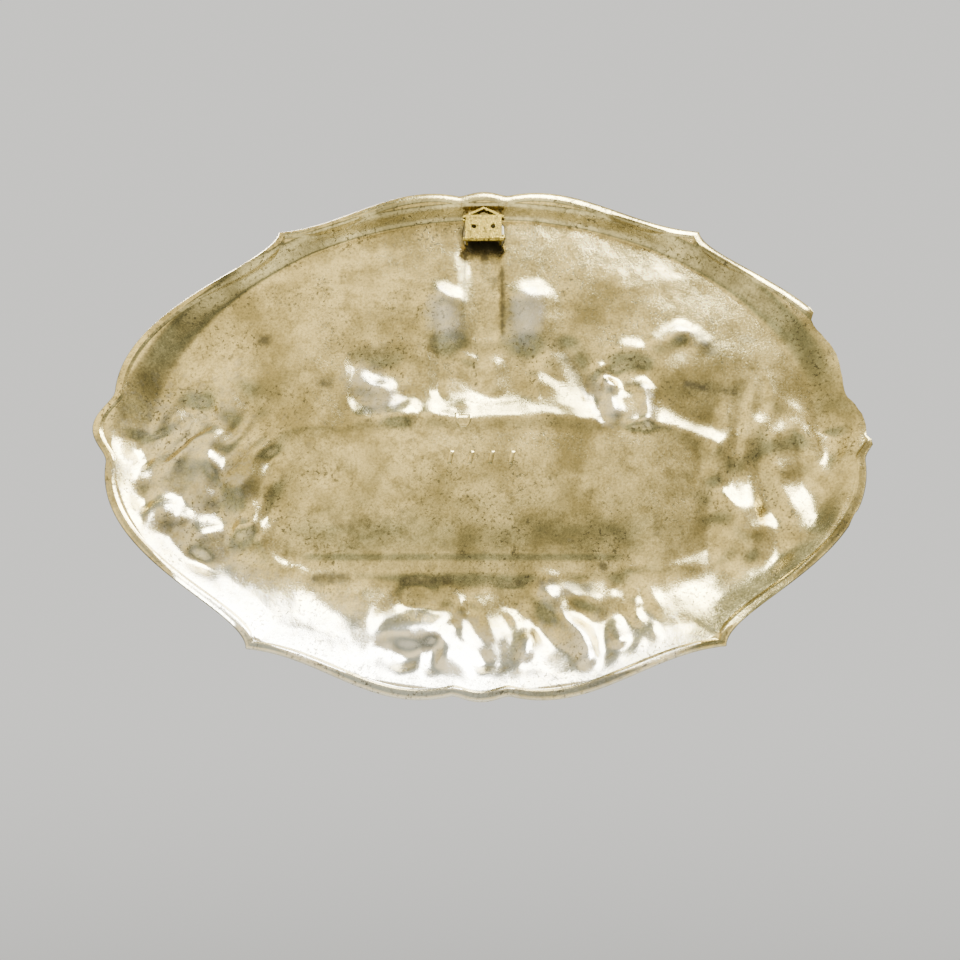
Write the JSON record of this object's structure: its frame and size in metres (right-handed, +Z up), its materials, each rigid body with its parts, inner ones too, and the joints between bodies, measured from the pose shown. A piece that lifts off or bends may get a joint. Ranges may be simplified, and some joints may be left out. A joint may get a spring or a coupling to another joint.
{
  "type": "decorative wall plaque",
  "caption": "Scalloped oval wall plaque of thin cast brass with a palace and trees in relief, hollow behind, with a folded sheet-brass hanging bracket near the top.",
  "frame": {"origin": "the middle of the bracket's plate, on its outer face, between the two nail holes", "axes": "+Z up as the plaque hangs, +X right seen from the front, +Y towards the wall, so the picture faces -Y"},
  "size_m": [0.2965, 0.0167, 0.2066],
  "materials": {
    "cast_brass": "sand-cast, tumbled back, dulled and stained with age",
    "sheet_brass": "rolled sheet, scratched, soldered in place"
  },
  "bodies": {
    "root": {"cast_plaque": "cast_brass", "hanger_bracket": "sheet_brass"}
  },
  "joints": []
}
